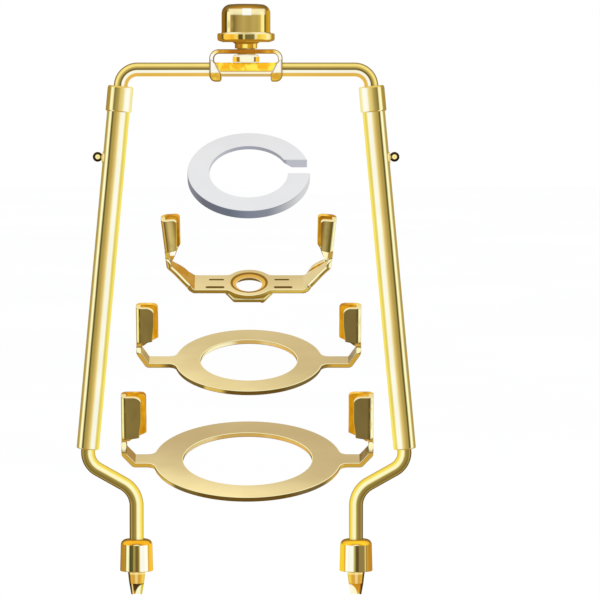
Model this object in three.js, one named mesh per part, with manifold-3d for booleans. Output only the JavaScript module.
// Adjustable lampshade harp with finial, and its loose saddle, ring fitters and reducer ring.
// Millimetres, +Z up, harp in the XZ plane, front is -Y, origin midway between the two foot ends.
import * as THREE from 'three';
import { mergeVertices } from 'three/addons/utils/BufferGeometryUtils.js';
import Module from 'manifold-3d';

const wasm = await Module();
wasm.setup();

// ---- shared dimensions ------------------------------------------------------
const ROD_R = 2.1;              // harp wire
const BOW_Z = 157.8;            // centre of the bow's top run
const LEG_Z0 = 152.9;           // top of the collars
const LEG_X0 = 37.5;            // leg axis at LEG_Z0
const LEG_SLOPE = 0.0928;       // outward run per unit of drop
const LEG_STRETCH = Math.hypot(1, LEG_SLOPE);   // length along the leg per unit of drop
const LEG_TILT = Math.atan(LEG_SLOPE);
const legX = (z) => LEG_X0 + LEG_SLOPE * (LEG_Z0 - z);

const metal = (color, roughness) => ({ color, roughness, metalness: 1.0 });
const BRASS = metal(0xe3bd55, 0.16);
const STUD_BRASS = metal(0xc9a550, 0.3);
const INSERT_BRASS = metal(0xd6b25a, 0.22);
const SCREW_BRASS = metal(0xb98f35, 0.3);
const WHITE_PLASTIC = { color: 0xf1f1f3, roughness: 0.45, metalness: 0.0 };

// ---- meshes and solids ------------------------------------------------------
const harp = new THREE.Group();

// closed, welded, outward-facing form of a geometry
function weld(geometry) {
  geometry.deleteAttribute('normal');
  geometry.deleteAttribute('uv');
  const welded = mergeVertices(geometry, 1e-4);
  const vertex = (i) => new THREE.Vector3().fromBufferAttribute(welded.attributes.position, i);
  const source = welded.index.array;
  const triangles = [];
  let volume = 0;
  for (let i = 0; i < source.length; i += 3) {
    const [a, b, c] = source.slice(i, i + 3);
    if (a === b || b === c || a === c) continue;
    triangles.push(a, b, c);
    volume += vertex(a).dot(vertex(b).cross(vertex(c)));
  }
  if (volume < 0) {
    for (let i = 0; i < triangles.length; i += 3) {
      [triangles[i + 1], triangles[i + 2]] = [triangles[i + 2], triangles[i + 1]];
    }
  }
  welded.setIndex(triangles);
  return welded;
}

function solid(geometry) {
  const welded = weld(geometry);
  return new wasm.Manifold(new wasm.Mesh({
    numProp: 3,
    vertProperties: new Float32Array(welded.attributes.position.array),
    triVerts: new Uint32Array(welded.index.array),
  }));
}

function geometryOf(manifold) {
  const mesh = manifold.getMesh();
  const geometry = new THREE.BufferGeometry();
  const positions = new Float32Array(mesh.vertProperties);
  geometry.setAttribute('position', new THREE.BufferAttribute(positions, 3));
  geometry.setIndex(Array.from(mesh.triVerts));
  return geometry;
}

// named mesh from a geometry or a manifold solid
function piece(name, shape, look = BRASS, parent = harp) {
  const geometry = weld(shape.isBufferGeometry ? shape : geometryOf(shape));
  geometry.computeVertexNormals();
  const mesh = new THREE.Mesh(geometry, new THREE.MeshStandardMaterial(look));
  mesh.name = name;
  parent.add(mesh);
  return mesh;
}

// ---- shape helpers ----------------------------------------------------------
const rad = (degrees) => degrees * Math.PI / 180;

// points on an arc about (x, y), angles in degrees
const arc = (r, steps, from = 0, to = 360, x = 0, y = 0) =>
  Array.from({ length: steps + 1 }, (_, i) => {
    const angle = rad(from + (to - from) * i / steps);
    return [x + r * Math.cos(angle), y + r * Math.sin(angle)];
  });

const outline = (points) => new THREE.Shape(points.map(([x, y]) => new THREE.Vector2(x, y)));
const extruded = (points, depth) =>
  new THREE.ExtrudeGeometry(outline(points), { depth, bevelEnabled: false });

// points on the right (side 1) or mirrored to the left (side -1)
const onSide = (side, points) => points.map(([x, y]) => [side * x, y]);

// geometry turned about Z from [radius, height] pairs
const turned = (profile, segments) => new THREE.LatheGeometry(
  profile.map(([r, h]) => new THREE.Vector2(r, h)), segments).rotateX(Math.PI / 2);

// geometry of a round bar between two heights on Z
const bar = (r, z0, z1, segments = 16) => turned([[0, z0], [r, z0], [r, z1], [0, z1]], segments);

// solid with its outline in XY and its underside at z0
const plate = (points, z0, thickness) => solid(extruded(points, thickness).translate(0, 0, z0));
const disc = (r, sides, z0, thickness) => plate(arc(r, sides).slice(0, -1), z0, thickness);

// solid with its outline in XZ, centred on Y = 0
const profileXZ = (points, width) =>
  solid(extruded(points, width).rotateX(Math.PI / 2).translate(0, width / 2, 0));

// solid block, sizes and centre in x, y, z
const block = (size, centre) => solid(new THREE.BoxGeometry(...size).translate(...centre));

// path through given stations in the XZ plane, with its sections kept square to that plane
class StationPath extends THREE.Curve {
  constructor(stations) {
    super();
    this.stations = stations;
  }

  getSpacedPoints() {
    return this.stations.map((p) => p.clone());
  }

  computeFrenetFrames() {
    const across = new THREE.Vector3(0, 1, 0);
    const tangents = this.stations.map((_, i, all) => new THREE.Vector3()
      .subVectors(all[Math.min(i + 1, all.length - 1)], all[Math.max(i - 1, 0)]).normalize());
    const normals = tangents.map(() => across.clone());
    const binormals = tangents.map((t) => new THREE.Vector3().crossVectors(t, across));
    return { tangents, normals, binormals };
  }
}

// wire stations from corners [x, z, bend radius]; the two ends have no radius
function bent(corners) {
  const steps = 6;
  const points = corners.map(([x, z]) => new THREE.Vector3(x, 0, z));
  const stations = [points[0]];
  for (let i = 1; i < points.length - 1; i++) {
    const corner = points[i];
    const r = corners[i][2];
    const back = new THREE.Vector3().subVectors(points[i - 1], corner).normalize();
    const ahead = new THREE.Vector3().subVectors(points[i + 1], corner).normalize();
    const half = Math.acos(THREE.MathUtils.clamp(back.dot(ahead), -1, 1)) / 2;
    const inward = back.clone().add(ahead).normalize();
    const centre = corner.clone().addScaledVector(inward, r / Math.sin(half));
    const setback = r / Math.tan(half);
    const start = corner.clone().addScaledVector(back, setback).sub(centre);
    const end = corner.clone().addScaledVector(ahead, setback).sub(centre);
    const sweep = Math.PI - 2 * half;
    for (let k = 0; k <= steps; k++) {
      const startShare = Math.sin(sweep * (1 - k / steps)) / Math.sin(sweep);
      const endShare = Math.sin(sweep * k / steps) / Math.sin(sweep);
      stations.push(start.clone().multiplyScalar(startShare)
        .addScaledVector(end, endShare).add(centre));
    }
  }
  stations.push(points[points.length - 1]);
  return stations;
}

// geometry of the harp wire bent round the given corners
function wire(corners) {
  const stations = bent(corners);
  return new THREE.ExtrudeGeometry(outline(arc(ROD_R, 12).slice(0, -1)), {
    steps: stations.length - 1,
    extrudePath: new StationPath(stations),
    bevelEnabled: false,
  });
}

// ---- bow --------------------------------------------------------------------
function bow() {
  const bendR = 4.8;
  const endZ = 80;              // hidden lower ends inside the tubes
  piece('bow_rod', wire([
    [-legX(endZ), endZ],
    [-legX(BOW_Z), BOW_Z, bendR],
    [legX(BOW_Z), BOW_Z, bendR],
    [legX(endZ), endZ],
  ]));
}

// ---- bracket, stud and nut --------------------------------------------------
const STUD_R = 2.9;
const STUD_BORE_R = STUD_R + 0.3;   // clearance hole in the parts round the stud

// C-shaped strap round the bow's top run, open between its hooked feet
function finialBracket() {
  const half = 10.85, topZ = 163.8, footZ = 154.25, depth = 9.0, t = 1.2;
  const footLength = 3.3, topBendR = 2.2, footBendR = 1.6;
  const lipT = 0.9;
  const bend = (outerR, z, inset, steps, from, to) =>
    arc(outerR - inset, steps, from, to, half - outerR, z);
  const topBend = (...rest) => bend(topBendR, topZ - topBendR, ...rest);
  const footBend = (...rest) => bend(footBendR, footZ + footBendR, ...rest);

  const right = [
    ...topBend(0, 4, 90, 0), ...footBend(0, 3, 0, -90),
    [half - footLength, footZ], [half - footLength, footZ + t],
    ...footBend(t, 2, -90, 0), ...topBend(t, 3, 0, 90),
  ];
  let body = profileXZ([...right, ...onSide(-1, right).reverse()], depth);

  // lips at the front and back of each wall: [inset from the wall's outside, height above foot]
  const lip = [
    [0.55, 6.9], [0.55, 0.55], [footLength, 0.55], [footLength, 2.3],
    [2.5, 3.0], [1.9, 5.2], [1.1, 6.3],
  ].map(([inset, height]) => [half - inset, footZ + height]);
  for (const side of [-1, 1]) {
    for (const face of [-1, 1]) {
      body = body.add(profileXZ(onSide(side, lip), lipT)
        .translate([0, face * (depth / 2 - lipT / 2), 0]));
    }
  }

  const rodHole = bar(ROD_R + 0.35, -2 * half, 2 * half).rotateY(Math.PI / 2);
  body = body.subtract(solid(rodHole.translate(0, 0, BOW_Z)));
  body = body.subtract(solid(bar(STUD_BORE_R, topZ - 4, topZ + 4)));
  piece('finial_bracket', body);
}

function studNut() {
  piece('stud_nut', turned([
    [STUD_BORE_R, 160.05], [3.75, 160.05], [4.0, 160.3], [4.0, 161.6],
    [3.4, 162.3], [STUD_BORE_R, 162.3], [STUD_BORE_R, 160.05],
  ], 20));
}

function finialStud() {
  piece('finial_stud', turned([
    [0, 160.3], [STUD_R - 0.3, 160.3], [STUD_R, 160.6],
    [STUD_R, 171.2], [STUD_R - 0.7, 171.9], [0, 171.9],
  ], 16), STUD_BRASS);
}

// ---- finial -----------------------------------------------------------------
// drum with a rounded top edge, a flange at its foot and a blind bore from below
function finialKnob() {
  const r = 7.3, topZ = 177.4, edgeR = 2.5;
  const flangeR = 8.55, flangeZ0 = 166.0, flangeZ1 = 168.6;
  const boreR = 4.15, boreTopZ = 173.4;
  piece('finial_knob', turned([
    [boreR, 166.7], [boreR, boreTopZ - 0.7], [boreR - 0.75, boreTopZ], [0, boreTopZ],
    [0, topZ], ...arc(edgeR, 5, 90, 0, r - edgeR, topZ - edgeR),
    [r, flangeZ1 + 0.5], [r + 0.35, flangeZ1],
    [flangeR - 0.35, flangeZ1], [flangeR, flangeZ1 - 0.35],
    [flangeR, flangeZ0 + 1.1], [flangeR - 0.5, flangeZ0 + 0.35],
    [flangeR - 1.3, flangeZ0], [boreR, flangeZ0], [boreR, 166.7],
  ], 32));
}

// sleeve between the stud and the knob's bore
function finialInsert() {
  const r = 3.85, neckR = 3.55, z0 = 164.1, z1 = 172.4;
  piece('finial_thread_insert', turned([
    [STUD_BORE_R, z0], [neckR - 0.2, z0], [neckR, z0 + 0.2], [neckR, z0 + 1.0],
    [r, 165.8], [r, z1], [STUD_BORE_R, z1], [STUD_BORE_R, z0],
  ], 20), INSERT_BRASS);
}

// ---- legs; side is -1 left, +1 right ----------------------------------------
const TUBE_R = 3.35;
const TUBE_BORE_R = 2.5;
const SCREW_Z = 131.24;         // where the lock screw's axis meets the leg axis
const BOSS_OUT = 3.6;           // boss face, from the leg axis
const ANKLE_X = 33.0;           // foot axis
const TIP_TOP_Z = 13.0;
const WIRE_END_Z = TIP_TOP_Z + 0.3;
const SPIGOT_R = 1.45;

// place an object built along Z onto the leg axis at height z
function onLeg(object, side, z) {
  object.position.set(side * legX(z), 0, z);
  object.rotation.y = -side * LEG_TILT;
  return object;
}

// round bar pointing outward, square to the leg, between two distances from its axis
const outwardBar = (side, r, from, to, segments = 12) =>
  bar(r, from, to, segments).rotateY(side * Math.PI / 2);

// tube with the screw's boss, built along Z from the screw's height
function tube(name, side) {
  const bottomZ = 43.95, bossR = 1.75, shankHoleR = 1.15;
  const top = (LEG_Z0 - SCREW_Z) * LEG_STRETCH - 0.4;
  const bottom = -(SCREW_Z - bottomZ) * LEG_STRETCH;
  const body = solid(turned([
    [TUBE_BORE_R, bottom], [TUBE_R - 0.4, bottom], [TUBE_R, bottom + 0.8],
    [TUBE_R, top], [TUBE_BORE_R, top], [TUBE_BORE_R, bottom],
  ], 20))
    .add(solid(outwardBar(side, bossR, TUBE_BORE_R + 0.25, BOSS_OUT, 16)))
    .subtract(solid(outwardBar(side, shankHoleR, 1, 6)));
  onLeg(piece(`${name}_tube`, body), side, SCREW_Z);
}

// collar over the tube's top, with a thin rim turned in above it
function collar(name, side) {
  const r = 3.85, length = 7.7;
  const boreR = TUBE_R + 0.2, rimR = TUBE_BORE_R + 0.05, rimT = 0.2;
  onLeg(piece(`${name}_tube_collar`, turned([
    [boreR, -length], [r - 0.25, -length], [r, -length + 0.3], [r, -0.5], [r - 0.45, 0],
    [rimR, 0], [rimR, -rimT], [boreR, -rimT], [boreR, -length],
  ], 20)), side, LEG_Z0);
}

// shank from just outside the bow's wire, and a ball head outside the boss
function lockScrew(name, side) {
  const shankR = 0.85, ballR = 1.47;
  const ballOut = 4.97;         // ball centre, from the leg axis
  const screw = onLeg(new THREE.Group(), side, SCREW_Z);
  harp.add(screw);
  const shank = outwardBar(side, shankR, ROD_R + 0.15, ballOut - 0.85);
  piece(`${name}_lock_screw_shank`, shank, SCREW_BRASS, screw);

  const socket = outwardBar(side, shankR + 0.2, ballOut - 3, ballOut - 0.65);
  const flatCut = outwardBar(side, 2.4, 1, BOSS_OUT + 0.15);
  const ball = solid(new THREE.SphereGeometry(ballR, 16, 10)
    .rotateZ(Math.PI / 2).translate(side * ballOut, 0, 0));
  const head = ball.subtract(solid(socket)).subtract(solid(flatCut));
  piece(`${name}_lock_screw_ball`, head, BRASS, screw);
}

// lower leg: hidden run in the tube, knee, ankle, and a turned spigot in the tip
function lowerLeg(name, side) {
  const topZ = 60;
  const main = solid(wire([
    [side * legX(topZ), topZ],
    [side * 47.85, 39.66, 5.6],         // knee
    [side * ANKLE_X, 31.3, 7.4],        // ankle
    [side * ANKLE_X, WIRE_END_Z],
  ]));
  const spigot = bar(SPIGOT_R, 5.6, TIP_TOP_Z + 1.5, 12).translate(side * ANKLE_X, 0, 0);
  piece(`${name}_lower_leg`, main.add(solid(spigot)));
}

// tapered tip, hollow at its lower end, with the front half cut away there like a nib
function footTip(name, side) {
  const topR = 2.65, endR = 1.6, boreR = SPIGOT_R + 0.3;
  const body = solid(turned([
    [0, 3.8], [1.2, 3.8], [0.95, 0], [endR, 0], [endR + 0.62, 3.4],
    [topR - 0.05, 6.8], [topR, 7.6], [topR, TIP_TOP_Z - 0.4], [topR - 0.4, TIP_TOP_Z],
    [boreR, TIP_TOP_Z], [boreR, 5.2], [0, 5.2],
  ], 16));
  const frontCut = block([8, 4, 5.3], [0, -2.15, 0.65]);
  piece(`${name}_foot_tip`, body.subtract(frontCut)).position.x = side * ANKLE_X;
}

// skirted sleeve round the tip's upper part and the wire above it
function ferrule(name, side) {
  const z0 = 7.2, z1 = 16.8, bottomR = 5.0, topR = 4.6;
  const skirtBoreR = 3.8, wireBoreR = ROD_R + 0.3;
  piece(`${name}_ferrule`, turned([
    [skirtBoreR, z0], [bottomR - 0.25, z0], [bottomR, z0 + 0.25], [topR, z1 - 1.7],
    [topR - 0.25, z1 - 0.85], [topR - 0.85, z1 - 0.2], [topR - 1.6, z1], [wireBoreR, z1],
    [wireBoreR, WIRE_END_Z], [skirtBoreR, WIRE_END_Z], [skirtBoreR, z0],
  ], 24)).position.x = side * ANKLE_X;
}

// ---- loose pieces, each flat in its own group and tilted towards the front --
function tilted({ x, y = 0, z, tilt }) {
  const group = new THREE.Group();
  group.position.set(x, y, z);
  group.rotation.x = rad(tilt);
  harp.add(group);
  return group;
}

// white ring, split on its right
function reducerRing() {
  const outerR = 18.35, innerR = 11.8, t = 3.0;
  const gapY0 = -0.5, gapY1 = 5.3;      // front and back edges of the split
  const angleAt = (y, r) => Math.asin(y / r) * 180 / Math.PI;
  const ring = plate([
    ...arc(outerR, 48, angleAt(gapY1, outerR), 360 + angleAt(gapY0, outerR)),
    ...arc(innerR, 40, 360 + angleAt(gapY0, innerR), angleAt(gapY1, innerR)),
  ], -t / 2, t);
  // the bore is bevelled away on its underside
  const z0 = -t / 2 - 0.5, z1 = t / 2 - 1.0;
  const bevel = turned([[0, z0], [innerR + 2.9, z0], [innerR - 0.2, z1], [0, z1]], 40);
  const group = tilted({ x: 0.8, z: 126.15, tilt: 38.5 });
  piece('reducer_ring', ring.subtract(solid(bevel)), WHITE_PLASTIC, group);
}

// channel ear: web across the arm's end and two flaps turned inward, leaning outward by
// lean degrees; each flap has its length, bottom height at the web and height at its shoulder
function ear(side, { webX, z0, z1, depth, t, front, rear, lean = 0 }) {
  const chamfer = 0.9;
  const flap = (y, { length, bottom, shoulder }) => profileXZ(onSide(side, [
    [webX, bottom], [webX - 1.3, bottom], [webX - length, shoulder],
    [webX - length, z1 - chamfer], [webX - length + chamfer, z1], [webX, z1],
  ]), t).translate([0, y, 0]);
  const flapY = depth / 2 - t / 2;
  const channel = block([t, depth, z1 - z0], [side * (webX - t / 2), 0, (z0 + z1) / 2])
    .add(flap(-flapY, front))
    .add(flap(flapY, rear));
  if (!lean) return channel;
  return channel.translate([-side * webX, 0, -z0])
    .rotate([0, side * lean, 0])
    .translate([side * webX, 0, z0]);
}

const SMALL_FITTER = {
  x: 0.8, z: 69.7, tilt: 20.4,
  outerR: 22.1, holeR: 14.5, t: 1.15,
  armHalf: 2.7, bendX: 30.3, webX: 33.5, rise: 4.0,
  earTop: 18.2, earDepth: 4.3,
  front: { length: 4.8, height: 11.6 }, rear: { length: 6.2, height: 13.6 },
};
const LARGE_FITTER = {
  x: 0.4, y: 0.1953, z: 39.9, tilt: 19,
  outerR: 28.2, holeR: 19.4, t: 1.2,
  armHalf: 3.4, bendX: 34.0, webX: 37.6, rise: 3.4,
  earTop: 21.2, earDepth: 4.8,
  front: { length: 5.2, height: 13.8 }, rear: { length: 6.9, height: 15.6 },
};

// flat ring with two arms, each rising to an ear
function ringFitter(name, size) {
  const { outerR, holeR, t, armHalf, bendX, webX, rise, earTop, earDepth } = size;
  const rootHalf = 6.5;         // half width where an arm flares into the ring
  const root = plate([
    [0, -rootHalf], [3.4, -armHalf - 0.4], [6, -armHalf],
    [6, armHalf], [3.4, armHalf + 0.4], [0, rootHalf],
  ], 0, t);
  let body = disc(outerR, 56, 0, t)
    .add(block([2 * bendX, 2 * armHalf, t], [0, 0, t / 2]))
    .add(root.translate([outerR - 1.0, 0, 0]))
    .add(root.rotate([0, 0, 180]).translate([-outerR + 1.0, 0, 0]))
    .subtract(disc(holeR, 48, -1, t + 2));

  const ramp = [
    [bendX - 0.5, 0], [bendX, 0], [webX, rise], [webX, rise + 0.6],
    [webX - t, rise + 0.6], [webX - t, rise + 0.35], [bendX - 0.45, t], [bendX - 0.9, t],
  ];
  const flap = ({ length, height }, shoulderRise) => ({
    length, bottom: earTop - height, shoulder: earTop - height + shoulderRise,
  });
  for (const side of [-1, 1]) {
    body = body.add(profileXZ(onSide(side, ramp), 2 * armHalf * 0.86));
    body = body.add(ear(side, {
      webX, z0: rise + 0.3, z1: earTop, depth: earDepth, t,
      front: flap(size.front, 0.5), rear: flap(size.rear, 2.6),
    }));
  }
  piece(name, body, BRASS, tilted(size));
}

const SADDLE_HOLE_R = 4.1;

// strip with a countersunk hole in its round middle, inclined arms and leaning ears
function saddleStrip(group) {
  const middleR = 7.25, sinkR = 5.35, t = 1.2;
  const half = 4.2;             // half width of the strip
  const flatX = 16.4, armX = 24.1, rise = 7.5;
  const flapHeights = { bottom: rise + 0.4, shoulder: 13.0 };
  // through slots on each side: [x, y, length, width]
  const slots = [[10.2, -2.6, 5.4, 0.8], [9.8, 1.6, 4.3, 0.5]];

  const hole = turned([
    [0, -1], [SADDLE_HOLE_R, -1], [SADDLE_HOLE_R, t - 1.0],
    [sinkR, t + 0.05], [sinkR, t + 1], [0, t + 1],
  ], 32);
  let strip = disc(middleR, 36, 0, t)
    .add(block([2 * flatX, 2 * half, t], [0, 0, t / 2]))
    .subtract(solid(hole));

  const arm = [
    [flatX - 0.4, 0], [flatX + 0.1, 0], [armX + 0.2, rise - 0.4],
    [armX + 0.4, rise + 1.0], [armX - 0.6, rise + 1.0], [flatX - 0.4, t],
  ];
  // plan outline that narrows the arm towards its ear
  const endHalf = half * 0.62;
  const taper = [
    [flatX - 1, -half], [flatX, -half], [armX + 1, -endHalf],
    [armX + 1, endHalf], [flatX, half], [flatX - 1, half],
  ];
  for (const side of [-1, 1]) {
    strip = strip.add(profileXZ(onSide(side, arm), 2 * half)
      .intersect(plate(onSide(side, taper), -2, rise + 6)));
    strip = strip.add(ear(side, {
      webX: armX + 0.4, z0: rise, z1: 23.3, depth: 4.4, t: 1.0, lean: 5.2,
      front: { length: 3.7, ...flapHeights }, rear: { length: 5.2, ...flapHeights },
    }));
    for (const [x, y, length, width] of slots) {
      strip = strip.subtract(block([length, width, 4], [side * x, y, 0.5]));
    }
  }
  piece('saddle_strip', strip, BRASS, group);
}

// eight-sided plate under the strip's middle, with a small peg below its front right corner
function saddleLockPlate(group) {
  const lock = plate([
    [-7.2, -2.2], [-4.6, -7.0], [4.6, -7.0], [7.2, -2.2],
    [7.2, 2.2], [4.6, 6.6], [-4.6, 6.6], [-7.2, 2.2],
  ], -1.5, 1.25)
    .add(solid(bar(0.75, -2.1, -1.0, 12).translate(4.0, -5.7, 0)))
    .subtract(solid(bar(SADDLE_HOLE_R + 0.15, -3, 2, 32)));
  piece('saddle_lock_plate', lock, BRASS, group);
}

// ---- assembly ---------------------------------------------------------------
bow();
finialBracket();
studNut();
finialStud();
finialKnob();
finialInsert();
for (const [name, side] of [['left', -1], ['right', 1]]) {
  for (const part of [tube, collar, lockScrew, lowerLeg, footTip, ferrule]) part(name, side);
}
reducerRing();
ringFitter('small_ring_fitter', SMALL_FITTER);
ringFitter('large_ring_fitter', LARGE_FITTER);
const saddle = tilted({ x: 0.9, z: 93.1, tilt: 30 });
saddleStrip(saddle);
saddleLockPlate(saddle);

export default harp;
